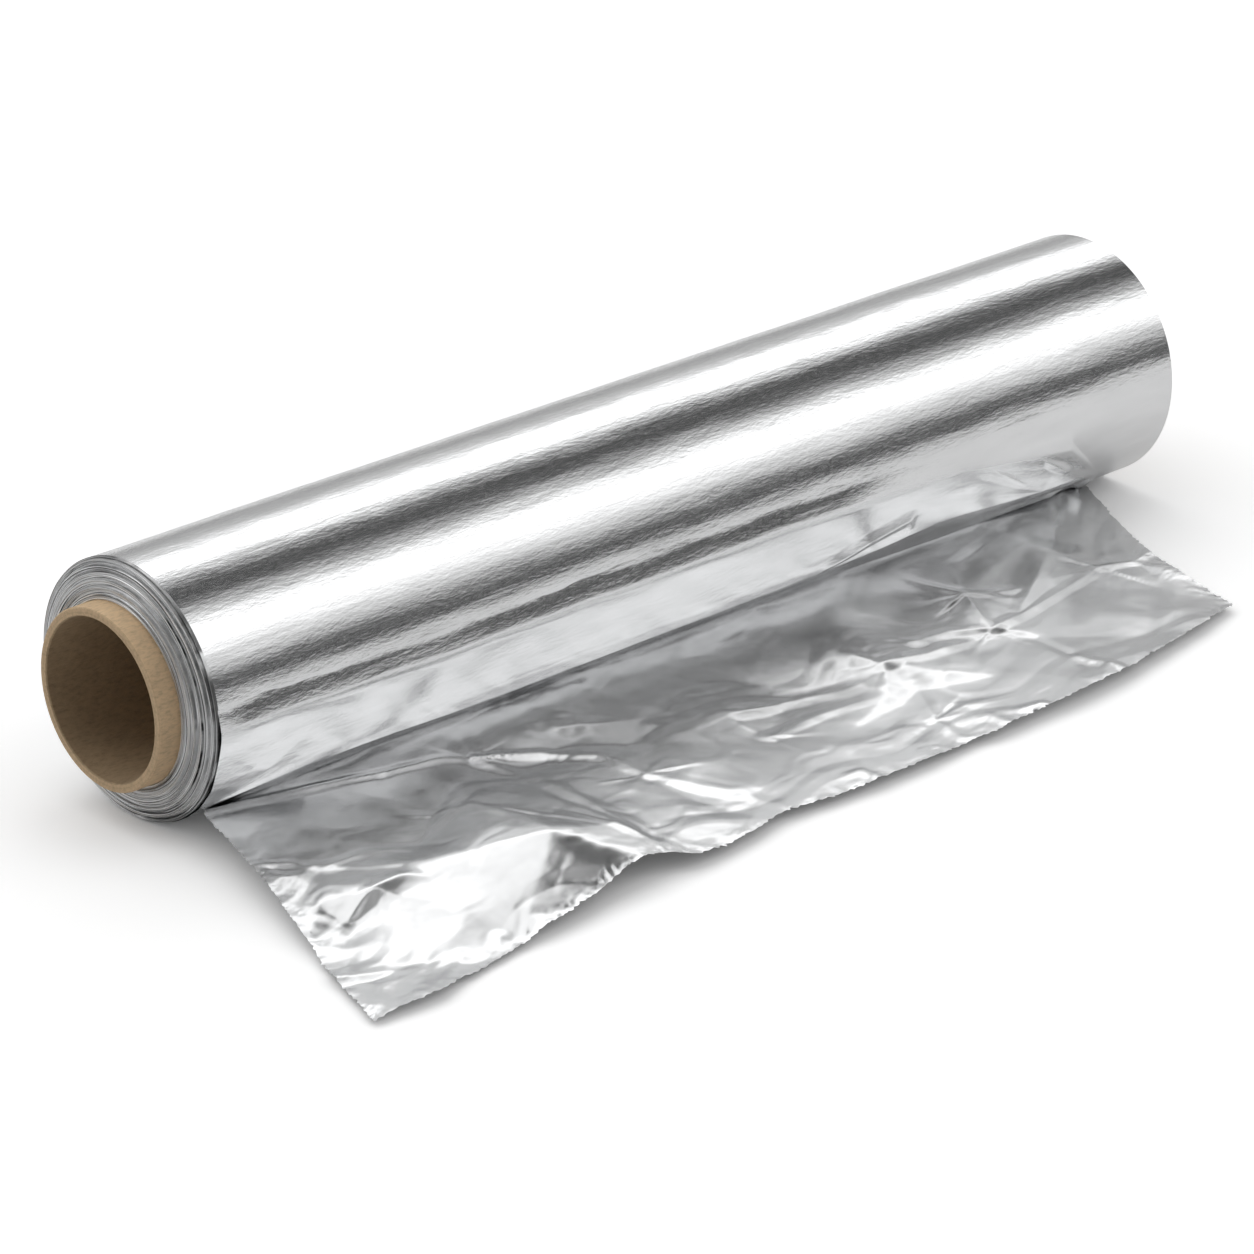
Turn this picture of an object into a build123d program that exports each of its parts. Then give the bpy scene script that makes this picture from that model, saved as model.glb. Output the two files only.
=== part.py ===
from build123d import *
from math import cos, radians, sin, sqrt
import os

# Household aluminium foil: a wound roll on a cardboard core, lying down, with the end of
# its foil drawn out flat in front of it.
# +X runs along the core from the end that faces the viewer, the drawn-out tail lies towards
# -Y, and the origin is the middle of the wound width on the core's axis. Millimetres.

# Wound roll
foil_width = 300.0
roll_diameter = 60.5
turns_shift = 2.6
flat_spot_width = 6.0

# Cardboard core
core_bore = 38.0
core_wall = 2.1
core_length = 309.0
core_stand_out = 8.4
core_edge_chamfer = 0.3

# Tail: the free end of the foil, drawn thicker than the real film so that it is a solid
tail_thickness = 0.45
tail_width = 283.0
tail_front_width = 286.5
tail_reach = 111.5
tail_skew = 34.5
tail_inset = 8.3
tail_clearance = 0.1
tail_bow = 0.5
tail_columns = 32
tail_rows = 10

# Loose outer turn low on the front of the roll
loose_depth = 1.2
loose_columns = 28
loose_rows = 9
loose_top_angle = 6.0
loose_bottom_angle = -64.0

roll_radius = roll_diameter / 2
bore_radius = core_bore / 2
core_radius = bore_radius + core_wall
wound_depth = roll_radius - core_radius
floor_drop = sqrt(roll_radius**2 - (flat_spot_width / 2)**2)
near_end = -foil_width / 2
core_start = near_end - core_stand_out

# Groups of turns from the core outwards: how far out each group ends, and how far it has
# slid towards the near end. What stands proud at one end is sunk by as much at the other.
turn_shares = [
    (0.07, 0.97),
    (0.14, 1.06),
    (0.23, 0.88),
    (0.31, 0.98),
    (0.39, 0.74),
    (0.48, 0.85),
    (0.56, 0.58),
    (0.65, 0.68),
    (0.73, 0.38),
    (0.82, 0.48),
    (0.90, 0.18),
    (0.96, 0.26),
    (1.00, 0.00),
]

# Torn front edge of the tail: its reach at even steps from the left edge to the right one
front_edge_shares = [1.0, 0.96, 0.908, 0.888, 0.888, 0.872, 0.79]

# Points where creases of the tail meet: across from its left edge and out from the roll as
# shares of its width and reach, and the height there as a share of the roll's radius
crease_point_shares = {
    "left_root": (0.00, 0.08, 0.20),
    "left_crest": (0.00, 0.18, 0.20),
    "left_notch": (0.00, 0.40, 0.20),
    "left_low": (0.00, 0.70, 0.08),
    "left_dent": (0.00, 0.83, 0.04),
    "ridge_one": (0.06, 0.53, 0.22),
    "ridge_two": (0.12, 0.63, 0.22),
    "ridge_three": (0.18, 0.73, 0.26),
    "peak": (0.23, 0.82, 0.33),
    "front_dent": (0.30, 1.00, 0.22),
    "left_star": (0.25, 0.34, 0.14),
    "knee": (0.22, 0.40, 0.13),
    "hollow": (0.15, 0.55, 0.17),
    "small_star": (0.21, 0.54, 0.20),
    "strip_end": (0.30, 0.83, 0.20),
    "diagonal_top": (0.28, 0.48, 0.14),
    "diagonal_middle": (0.30, 0.65, 0.17),
    "diagonal_low": (0.32, 0.85, 0.18),
    "diagonal_front": (0.35, 1.00, 0.13),
    "under_ridge": (0.08, 0.66, 0.14),
    "low_fold": (0.04, 0.89, 0.05),
    "low_fold_end": (0.13, 0.97, 0.03),
    "knot": (0.37, 0.66, 0.12),
    "knot_top": (0.37, 0.42, 0.08),
    "knot_far": (0.42, 0.89, 0.08),
    "knot_front": (0.46, 0.98, 0.05),
    "wedge": (0.50, 0.67, 0.10),
    "wedge_top": (0.54, 0.40, 0.07),
    "middle_star": (0.65, 0.60, 0.11),
    "right_star": (0.78, 0.45, 0.12),
    "low_right_star": (0.77, 0.61, 0.12),
    "front_star": (0.64, 0.88, 0.07),
    "front_star_top": (0.66, 0.72, 0.05),
    "front_star_edge": (0.66, 1.00, 0.03),
    "edge_star": (0.93, 0.55, 0.09),
    "edge_star_out": (0.97, 0.59, 0.07),
    "right_edge": (1.00, 0.60, 0.05),
    "right_root": (0.95, 0.20, 0.05),
    "far_fold": (0.81, 0.87, 0.05),
    "far_fold_front": (0.81, 1.00, 0.03),
}

# Creases between those points, and how far the sheet takes to come down behind and in
# front of each crest, as shares of the roll's radius
crease_shares = [
    ("left_root", "left_crest", 2.0, 2.0),
    ("left_crest", "left_star", 0.9, 1.8),
    ("left_crest", "left_notch", 1.2, 1.2),
    ("left_notch", "ridge_one", 2.0, 1.3),
    ("ridge_one", "ridge_two", 2.0, 1.3),
    ("ridge_two", "ridge_three", 2.0, 1.2),
    ("ridge_three", "peak", 1.8, 1.0),
    ("peak", "front_dent", 0.9, 0.7),
    ("left_notch", "left_low", 1.0, 1.0),
    ("left_low", "left_dent", 0.5, 0.5),
    ("ridge_two", "under_ridge", 0.5, 0.5),
    ("left_star", "knee", 0.6, 1.0),
    ("knee", "hollow", 0.6, 1.2),
    ("hollow", "small_star", 0.7, 0.5),
    ("small_star", "peak", 0.6, 0.6),
    ("small_star", "strip_end", 0.4, 0.5),
    ("left_star", "diagonal_top", 0.7, 0.5),
    ("diagonal_top", "diagonal_middle", 0.4, 0.6),
    ("diagonal_middle", "diagonal_low", 0.4, 0.6),
    ("diagonal_low", "diagonal_front", 0.4, 0.6),
    ("diagonal_top", "knot", 0.5, 0.5),
    ("low_fold", "low_fold_end", 0.5, 0.5),
    ("knot_top", "knot", 0.6, 0.5),
    ("knot", "knot_far", 0.4, 0.5),
    ("knot_far", "knot_front", 0.4, 0.5),
    ("knot", "wedge", 0.5, 0.4),
    ("wedge_top", "wedge", 0.5, 0.5),
    ("wedge", "middle_star", 0.6, 0.5),
    ("wedge_top", "right_star", 0.6, 0.7),
    ("middle_star", "low_right_star", 0.5, 0.5),
    ("right_star", "low_right_star", 0.4, 0.4),
    ("middle_star", "front_star_top", 0.4, 0.4),
    ("front_star_top", "front_star", 0.3, 0.4),
    ("front_star", "front_star_edge", 0.3, 0.4),
    ("low_right_star", "far_fold", 0.5, 0.5),
    ("far_fold", "far_fold_front", 0.3, 0.4),
    ("right_star", "edge_star", 0.6, 0.5),
    ("right_root", "edge_star", 0.6, 0.5),
    ("edge_star", "edge_star_out", 0.4, 0.4),
    ("edge_star_out", "right_edge", 0.4, 0.4),
]

# Wrinkles of the loose turn: start and end as shares of the foil's width from the near end,
# each with an angle round the roll, 0 at its front and 90 on top, then the height at each
# end and the reach of the slopes as shares of the roll's radius
wrinkle_shares = [
    ((0.005, -44.0), (0.090, -35.0), 0.012, 0.022, 0.16),
    ((0.090, -35.0), (0.290, -37.0), 0.022, 0.024, 0.16),
    ((0.290, -37.0), (0.550, -35.6), 0.024, 0.022, 0.15),
    ((0.550, -35.6), (0.690, -27.0), 0.022, 0.026, 0.20),
    ((0.690, -27.0), (0.745, -28.0), 0.026, 0.016, 0.18),
    ((0.005, -44.0), (0.080, -18.0), 0.012, 0.004, 0.12),
    ((0.010, -52.0), (0.300, -50.0), 0.012, 0.016, 0.12),
    ((0.300, -50.0), (0.900, -52.0), 0.016, 0.022, 0.14),
    ((0.630, -4.0), (0.760, -5.0), 0.002, 0.010, 0.10),
    ((0.760, -5.0), (0.884, -14.0), 0.010, 0.024, 0.16),
    ((0.780, -13.0), (0.868, -36.0), 0.010, 0.028, 0.20),
    ((0.868, -36.0), (0.936, -38.0), 0.028, 0.026, 0.20),
    ((0.745, -28.0), (0.868, -36.0), 0.016, 0.028, 0.16),
    ((0.884, -14.0), (0.936, -38.0), 0.024, 0.026, 0.14),
    ((0.936, -38.0), (0.950, -66.0), 0.026, 0.024, 0.14),
]
loose_edge_shares = [(0.884, -10.0), (0.936, -38.0), (0.950, -64.0)]


def clamp(value, low, high):
    return max(low, min(high, value))


def between(stations, values, station):
    """Value at a station, read off a line drawn through values at rising stations."""
    for low, high, first, last in zip(stations, stations[1:], values, values[1:]):
        if station <= high:
            return first + (last - first) * max(station - low, 0) / (high - low)
    return values[-1]


def tent(place, first, last, first_rise, last_rise, back_reach, front_reach):
    """Height of a crease at a place, all in one plane: its rise along the crest, and from
    there evenly down to nothing at the foot of the slope on either side and at each end."""
    run = last - first
    length = run.length
    along = (place - first).dot(run) / length
    beside = run.cross(place - first).Z / length
    beyond = max(-along, along - length, 0)
    slope = back_reach if beside > 0 else front_reach
    rise = first_rise + (last_rise - first_rise) * clamp(along / length, 0, 1)
    return rise * max(1 - sqrt(beside**2 + beyond**2) / slope, 0)


def tail_plan(across, out):
    """Place of a point of the tail seen from above. across is 0 at its left edge and 1 at
    its right one, out is 0 below the roll's axis and 1 at the torn front edge."""
    steps = len(front_edge_shares) - 1
    stations = [step / steps for step in range(steps + 1)]
    reach = tail_reach * between(stations, front_edge_shares, across)
    width = tail_width + (tail_front_width - tail_width) * out
    return Vector(near_end + tail_inset + width * across - tail_skew * out, -reach * out)


def crease_height(place):
    """Height of the highest crease at a place of the tail."""
    heights = [0]
    for start, end, back, front in crease_shares:
        across, out, start_rise = crease_point_shares[start]
        first = tail_plan(across, out)
        across, out, end_rise = crease_point_shares[end]
        last = tail_plan(across, out)
        rises = start_rise * roll_radius, end_rise * roll_radius
        slopes = back * roll_radius, front * roll_radius
        heights.append(tent(place, first, last, *rises, *slopes))
    return max(heights)


def tail_point(across, out):
    """Point of the tail's upper face. The tail comes out of the turns low on the roll and
    lies on the ground, lifted by its creases."""
    place = tail_plan(across, out)
    bow = tail_bow * 4 * across * (1 - across)
    height = tail_clearance + bow + tail_thickness + crease_height(place)
    return Vector(place.X, place.Y, height - floor_drop)


def loose_lift(along, angle):
    """Height of the highest wrinkle of the loose turn at a place unrolled into a plane."""
    def unrolled(share, degrees):
        return Vector(foil_width * share, roll_radius * radians(degrees))

    heights = [0]
    for start, end, start_rise, end_rise, slope in wrinkle_shares:
        rises = start_rise * roll_radius, end_rise * roll_radius
        slopes = slope * roll_radius, slope * roll_radius
        heights.append(tent(unrolled(along, angle), unrolled(*start), unrolled(*end), *rises, *slopes))
    return max(heights)


def loose_point(across, down, buried):
    """Point of the loose turn, whose right edge is drawn in from the end of the roll. Where
    no wrinkle lifts it, it lies just below the roll's surface."""
    angle = loose_top_angle + (loose_bottom_angle - loose_top_angle) * down
    angles = [-turn for share, turn in loose_edge_shares]
    ends = [share for share, turn in loose_edge_shares]
    along = wrinkle_shares[0][0][0] + (between(angles, ends, -angle) - wrinkle_shares[0][0][0]) * across
    lift = loose_lift(along, angle) - tail_thickness / 2
    radius = roll_radius - loose_depth if buried else roll_radius + lift
    turn = radians(angle)
    return Vector(near_end + foil_width * along, -radius * cos(turn), radius * sin(turn))


def grid_of_points(point_at, rows, columns):
    return [[point_at(column / columns, row / rows) for column in range(columns + 1)] for row in range(rows + 1)]


def creased_solid(upper, lower):
    """Closed solid between two like grids of points, flat from fold to fold."""
    def facets(grid):
        triangles = []
        for row, next_row in zip(grid, grid[1:]):
            for a, b, c, d in zip(row, row[1:], next_row, next_row[1:]):
                triangles += [(a, b, c), (b, d, c)]
        return triangles

    def rim(grid):
        left = [row[0] for row in grid]
        right = [row[-1] for row in grid]
        return grid[0] + right[1:] + grid[-1][-2::-1] + left[-2:0:-1]

    outer, inner = rim(upper), rim(lower)
    triangles = facets(upper) + facets(lower)
    for i in range(len(outer)):
        a, b, c, d = outer[i - 1], outer[i], inner[i - 1], inner[i]
        triangles += [(a, b, c), (b, d, c)]
    return Solid(Shell([Face(Wire.make_polygon(t)) for t in triangles]))


# Tail and loose turn as thin folded solids
tail_top = grid_of_points(tail_point, tail_rows, tail_columns)
tail_underside = [[point - Vector(0, 0, tail_thickness) for point in row] for row in tail_top]
tail = creased_solid(tail_top, tail_underside)

loose_outside = grid_of_points(lambda across, down: loose_point(across, down, False), loose_rows, loose_columns)
loose_inside = grid_of_points(lambda across, down: loose_point(across, down, True), loose_rows, loose_columns)
loose_turn = creased_solid(loose_outside, loose_inside)

with BuildPart() as core_tube:
    with BuildSketch(Plane.YZ.offset(core_start)):
        Circle(core_radius)
        Circle(bore_radius, mode=Mode.SUBTRACT)
    extrude(amount=core_length)
    chamfer(core_tube.edges().filter_by(GeomType.CIRCLE), core_edge_chamfer)
core_tube.part.label = "core_tube"

with BuildPart() as foil:
    with BuildSketch(Plane.XZ):
        with BuildLine():
            near_profile = []
            inner_radius = core_radius
            for out_share, shift_share in turn_shares:
                outer_radius = core_radius + wound_depth * out_share
                slid = near_end - turns_shift * shift_share
                near_profile += [(slid, inner_radius), (slid, outer_radius)]
                inner_radius = outer_radius
            far_profile = [(x + foil_width, radius) for x, radius in reversed(near_profile)]
            Polyline(*near_profile, *far_profile, close=True)
        make_face()
    revolve(axis=Axis.X)
    add(loose_turn)
    add(tail)
    split(bisect_by=Plane.XY.offset(-floor_drop), keep=Keep.TOP)
foil.part.label = "foil"

os.makedirs("parts", exist_ok=True)
export_step(core_tube.part, "parts/core_tube.step")
export_step(foil.part, "parts/foil.step")
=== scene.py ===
"""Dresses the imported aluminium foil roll: the wound turns with their film edges, the loose outer turn, the creased
tail, the cardboard core, and the studio that they stand in."""

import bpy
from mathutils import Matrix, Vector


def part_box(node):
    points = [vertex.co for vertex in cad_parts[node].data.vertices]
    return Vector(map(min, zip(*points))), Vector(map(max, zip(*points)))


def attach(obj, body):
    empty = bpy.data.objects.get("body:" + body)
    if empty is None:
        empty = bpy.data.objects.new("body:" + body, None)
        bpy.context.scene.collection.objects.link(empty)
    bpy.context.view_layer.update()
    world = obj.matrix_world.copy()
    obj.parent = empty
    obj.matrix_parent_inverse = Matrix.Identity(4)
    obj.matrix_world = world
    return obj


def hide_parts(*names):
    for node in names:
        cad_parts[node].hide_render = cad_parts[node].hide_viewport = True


bl_info = {
    "name": "Aluminium Foil Roll",
    "version": (1, 0, 0),
    "blender": (4, 5, 0),
    "location": "View3D > Sidebar > Foil Roll",
    "description": "Builds a wound roll of household foil with its creased tail drawn out in front of it",
    "category": "Add Mesh",
}

from math import cos, pi, radians, sin

import bpy
import numpy as np
from bpy.props import FloatProperty, FloatVectorProperty, IntProperty, PointerProperty
from mathutils import Vector
from mathutils.geometry import delaunay_2d_cdt

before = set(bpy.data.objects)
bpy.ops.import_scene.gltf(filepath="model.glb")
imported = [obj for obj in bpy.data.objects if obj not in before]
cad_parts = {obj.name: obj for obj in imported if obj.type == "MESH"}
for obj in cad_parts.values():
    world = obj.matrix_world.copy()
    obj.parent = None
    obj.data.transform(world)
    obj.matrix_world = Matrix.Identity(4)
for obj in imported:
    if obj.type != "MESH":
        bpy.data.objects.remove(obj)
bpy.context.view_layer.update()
FOIL_BOX = [list(corner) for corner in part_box("foil")]
CORE_BOX = [list(corner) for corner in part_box("core_tube")]
ROLL_RADIUS = FOIL_BOX[1][2]
FLOOR_LEVEL = FOIL_BOX[0][2]
CORE_RADIUS = CORE_BOX[1][2]

# Groups of turns from the core outwards: how far out each group ends, and how far it has slid towards the near end
TURN_SHARES = (
    (0.07, 0.97), (0.14, 1.06), (0.23, 0.88), (0.31, 0.98), (0.39, 0.74), (0.48, 0.85), (0.56, 0.58), (0.65, 0.68),
    (0.73, 0.38), (0.82, 0.48), (0.9, 0.18), (0.96, 0.26), (1, 0),
)

# Gaps between turns at the near end: how far out, half width of the gap, angle and half angle round the end, depth
TURN_GAPS = (
    (0.9, 0.035, -64, 20, 1.6), (0.7, 0.02, -75, 24, 1.2), (0.5, 0.02, -100, 30, 0.9), (0.8, 0.018, 100, 26, 0.9),
    (0.58, 0.015, 40, 30, 0.7), (0.33, 0.015, -30, 35, 0.6),
)

# Torn front edge of the tail: across from its left corner as a share, and how far it reaches from below the axis, mm
FRONT_EDGE = (
    (-0.001, 112.3), (0.063, 112.9), (0.092, 110.4), (0.132, 108.4), (0.178, 106.3), (0.214, 105.3), (0.246, 103.6),
    (0.276, 101.9), (0.299, 101.2), (0.326, 101.2), (0.347, 103.5), (0.373, 103.3), (0.404, 102.1), (0.449, 99.2),
    (0.499, 100.6), (0.545, 101.4), (0.595, 101.1), (0.634, 100.5), (0.654, 100.1), (0.679, 101), (0.733, 100.2),
    (0.774, 100), (0.805, 99.1), (0.832, 98.3), (0.885, 95.3), (0.945, 92), (0.999, 88),
)

# Left and right edges of the tail: share of the way out, and how far each stands to the right of its straight line, mm
LEFT_EDGE = ((0, 0.5), (0.18, 1.4), (0.43, 1.1), (0.7, 1.1), (0.83, 0.1), (1, 0))
RIGHT_EDGE = (
    (0, 2.5), (0.12, 2.5), (0.23, 0.8), (0.33, -0.7), (0.44, -1.8), (0.59, -2.8), (0.745, -1.9), (0.865, -0.9), (1, 0),
)

# Points where folds of the tail meet, mm: along the axis from the middle of the foil, forward of the axis (negative),
# and the height of the sheet above the ground
FOLD_POINTS = {
    "left_root": (-146.4, -19.7, 5.9), "left_mid": (-151, -32.1, 6.3), "left_notch": (-155.4, -48, 6.4),
    "left_slope": (-160.2, -62.8, 4.3), "left_low": (-164.9, -78.4, 2.3), "left_dip": (-166.8, -83.3, 1.6),
    "left_step": (-170.4, -93.1, 1.3), "left_toe": (-173.9, -102.8, 1.5), "left_corner": (-176.4, -112.3, 0.8),
    "toe_fold": (-169.9, -113.2, 2.2), "toe_nick": (-158.2, -112.9, 2.8), "front_1": (-149.7, -110.4, 1.4),
    "front_2": (-138.3, -108.4, 0.9), "front_3": (-125.3, -106.3, 2), "front_4": (-115, -105.3, 3.2),
    "front_5": (-105.8, -103.6, 3.9), "front_6": (-97, -101.9, 5.3), "front_dent": (-90.6, -101.2, 6.6),
    "front_7": (-82.7, -101.2, 4.9), "front_8": (-76.6, -103.5, 3.7), "front_9": (-69.3, -103.3, 3.1),
    "front_10": (-60.4, -102.1, 2.6), "front_11": (-47.4, -99.2, 2.6), "front_12": (-33.1, -100.6, 2.5),
    "front_13": (-20, -101.4, 2.7), "front_14": (-5.6, -101.1, 2.6), "front_15": (5.4, -100.5, 2.2),
    "front_16": (11.3, -100.1, 2.2), "front_17": (18.4, -101, 2.8), "front_18": (33.8, -100.2, 3.2),
    "front_19": (45.5, -100, 3.8), "front_20": (54.4, -99.1, 3.8), "front_21": (62.3, -98.3, 3.2),
    "front_22": (77.4, -95.3, 3.2), "front_23": (94.7, -92, 3), "right_corner": (110.1, -88, 1.8),
    "right_low": (113.6, -76.1, 1.6), "right_step": (116.3, -65.6, 1.6), "right_mid": (120.1, -52.2, 1.4),
    "right_high": (125.9, -38.5, 1.3), "right_top": (130.3, -29.3, 1.3), "right_start": (135, -20.1, 1.1),
    "right_root": (140.1, -10.4, 1), "ridge_a1": (-135.4, -22.4, 5.8), "ridge_a2": (-123.6, -25.3, 5.7),
    "ridge_a3": (-111, -27.3, 5.2), "ridge_a4": (-98.8, -29.9, 5), "ridge_a5": (-89.3, -32.4, 5),
    "left_star": (-82.6, -35.7, 4.4), "knee_1": (-94.3, -42.3, 4), "knee_2": (-102.3, -48.6, 4.5),
    "knee_3": (-120.1, -61, 3.9), "ridge_1": (-143, -58.4, 6), "ridge_2": (-130.9, -69.3, 6.7),
    "ridge_3": (-117.5, -78.3, 10), "peak": (-104.1, -86.7, 12.6), "small_star": (-102, -57.2, 7.2),
    "strip_end": (-85.9, -87.1, 7.9), "diag_top": (-78.2, -46.8, 2.6), "diag_mid": (-79.9, -66.9, 5.4),
    "diag_low": (-79.2, -87.1, 5.2), "strip_left": (-144.6, -59, 5.5), "strip_right": (-132.1, -69.7, 5.6),
    "step_left": (-149.1, -62.8, 5.4), "step_mid": (-141, -67, 6.4), "step_right": (-133.8, -73.6, 7),
    "front_star": (-143.9, -73.7, 7.3), "dip_star": (-153.8, -76.5, 1.1), "grey_top": (-130.7, -77.2, 5.8),
    "grey_low": (-140.2, -78.5, 4.9), "grey_mid": (-124.8, -93.1, 5.2), "grey_end": (-125.3, -101.5, 3.2),
    "grey_in": (-133.3, -89.9, 4.4), "grey_out": (-132.9, -102.2, 1.8), "toe_left": (-160.1, -96.9, 0.6),
    "toe_right": (-150.4, -103.3, 0.5), "white_mid": (-114.3, -94, 7.4), "nick_1": (-155.4, -69.3, 4.6),
    "near_1": (-123.9, -19, 6.6), "near_2": (-97.8, -20, 7.6), "near_3": (-68.9, -20, 7.6),
    "near_4": (-23.3, -20, 7.6), "near_5": (8.8, -20, 7.6), "near_6": (48.9, -20, 7.6), "near_7": (93.6, -18.5, 6.3),
    "near_8": (127.9, -15, 3.8), "bright_a": (-70.3, -31, 6.6), "bright_b": (-55.7, -34.9, 6.4),
    "bright_c": (-35.4, -42.8, 4.4), "bright_d": (-35.5, -47.5, 3.6), "bright_e": (-47.2, -52.3, 2.5),
    "bright_f": (-63.9, -44, 3.8), "knot_left": (-60.4, -53.5, 4), "knot": (-57.7, -66, 3.2),
    "knot_a": (-55.7, -77.9, 2.2), "knot_b": (-52.6, -90.6, 2.2), "knot_c": (-49.1, -74, 3.1),
    "knot_d": (-40.2, -90.4, 2.2), "patch_a": (-39.4, -60.4, 3.1), "patch_b": (-28.4, -51.9, 3.5),
    "wedge_top": (-6.2, -44.2, 3.6), "wedge_b": (5.3, -49.5, 4.2), "wedge_c": (18.9, -52.1, 5.4),
    "wedge_d": (-17.7, -53.8, 2.7), "wedge_e": (-4, -55.9, 1.3), "wedge_f": (6.2, -58.5, 2.2),
    "wedge_g": (14.4, -62.5, 3.2), "wedge": (-21.3, -66.8, 0.9), "star_1": (21.2, -60.9, 4.7),
    "fold_a": (13.5, -70.7, 2.9), "fold_b": (-6.3, -77.8, 1.8), "star_4": (11.8, -86.9, 1.6),
    "star_4_a": (20.1, -72.8, 1.6), "star_4_b": (13.5, -75.5, 1.6), "star_2": (64.1, -45.3, 5.2),
    "star_2_a": (58.4, -28.7, 5.2), "star_2_b": (72.4, -49.8, 2.6), "star_2_c": (54.5, -39.2, 4.6),
    "star_3": (56.7, -60.9, 2.6), "star_3_a": (41.7, -57.1, 3.2), "star_3_b": (50.1, -61.9, 1.6),
    "star_3_c": (62.1, -69.7, 1.4), "grey_plain": (40.5, -79.4, 1.8), "star_5": (102.6, -52.1, 2),
    "star_5_a": (85.3, -55.5, 1.8), "star_5_b": (69.8, -57.3, 1.7), "star_5_c": (110.5, -39.6, 1.1),
    "star_6": (111.7, -54.4, 1.8), "arc_1": (103.6, -67.5, 1.2), "arc_2": (83.3, -87.2, 1.6),
    "far_fold": (60.4, -85.1, 2.6), "far_fold_b": (64.1, -91.9, 3), "root_0": (-152, 0.5, 0.2),
    "root_1": (-110, 0.5, 0.2), "root_2": (-60, 0.5, 0.2), "root_3": (-10, 0.5, 0.2), "root_4": (40, 0.5, 0.2),
    "root_5": (90, 0.5, 0.2), "root_6": (150, 0.5, 0.2), "under_0": (-150, -9.5, 1.2), "under_1": (-110, -9.5, 1.2),
    "under_2": (-60, -9.5, 1.1), "under_3": (-10, -9.5, 1), "under_4": (40, -9.5, 1), "under_5": (90, -9.5, 1),
    "under_6": (150, -9.5, 1), "out_left": (-196, -60, 5), "out_left_low": (-200, -122, 0.4),
    "out_front": (-60, -125, 4), "out_front_b": (40, -120, 3), "out_right": (135, -104, 0.5),
    "out_right_high": (160, -40, 2), "out_left_high": (-165, -20, 5.5),
}

# Folds between those points, each as the points that it runs through
FOLDS = (
    "left_root ridge_a1 ridge_a2 ridge_a3 ridge_a4 ridge_a5 left_star bright_f knot_left knot",
    "left_notch ridge_1 ridge_2 ridge_3 peak front_dent", "left_star knee_1 knee_2 knee_3", "strip_left strip_right",
    "step_left step_mid step_right", "front_star dip_star left_dip", "front_star step_mid",
    "left_step toe_left toe_right toe_nick", "grey_top grey_mid grey_end front_3", "step_right grey_top",
    "front_star grey_low grey_in grey_out", "peak white_mid front_4", "small_star peak", "small_star strip_end",
    "left_star diag_top diag_mid diag_low front_8", "knot knot_a knot_b front_11", "knot knot_c knot_d front_12",
    "left_star bright_a bright_b bright_c bright_d bright_e knot", "wedge_top wedge_b wedge_c star_1",
    "wedge_top wedge_d wedge", "wedge wedge_e wedge_f wedge_g star_1", "star_1 fold_a", "star_4 star_4_a",
    "star_4 front_16", "star_4 star_4_b", "star_1 star_3_a star_3", "star_3 star_2", "star_2 star_2_a",
    "star_2 star_2_b", "star_2 star_2_c", "star_3 star_3_c far_fold front_20", "star_3 star_3_b",
    "star_3 star_5_b star_5_a star_5 star_6", "star_6 arc_1 arc_2", "star_6 right_mid", "star_5 star_5_c right_high",
    "far_fold far_fold_b front_21", "left_root near_1 near_2 near_3 near_4 near_5 near_6 near_7 near_8",
)

# Fold points where the sheet is crumpled most
STARS = (
    "left_star", "small_star", "front_star", "knot", "strip_end", "wedge", "star_1", "star_2", "star_3", "star_4",
    "star_5", "star_6", "left_notch",
)

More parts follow.
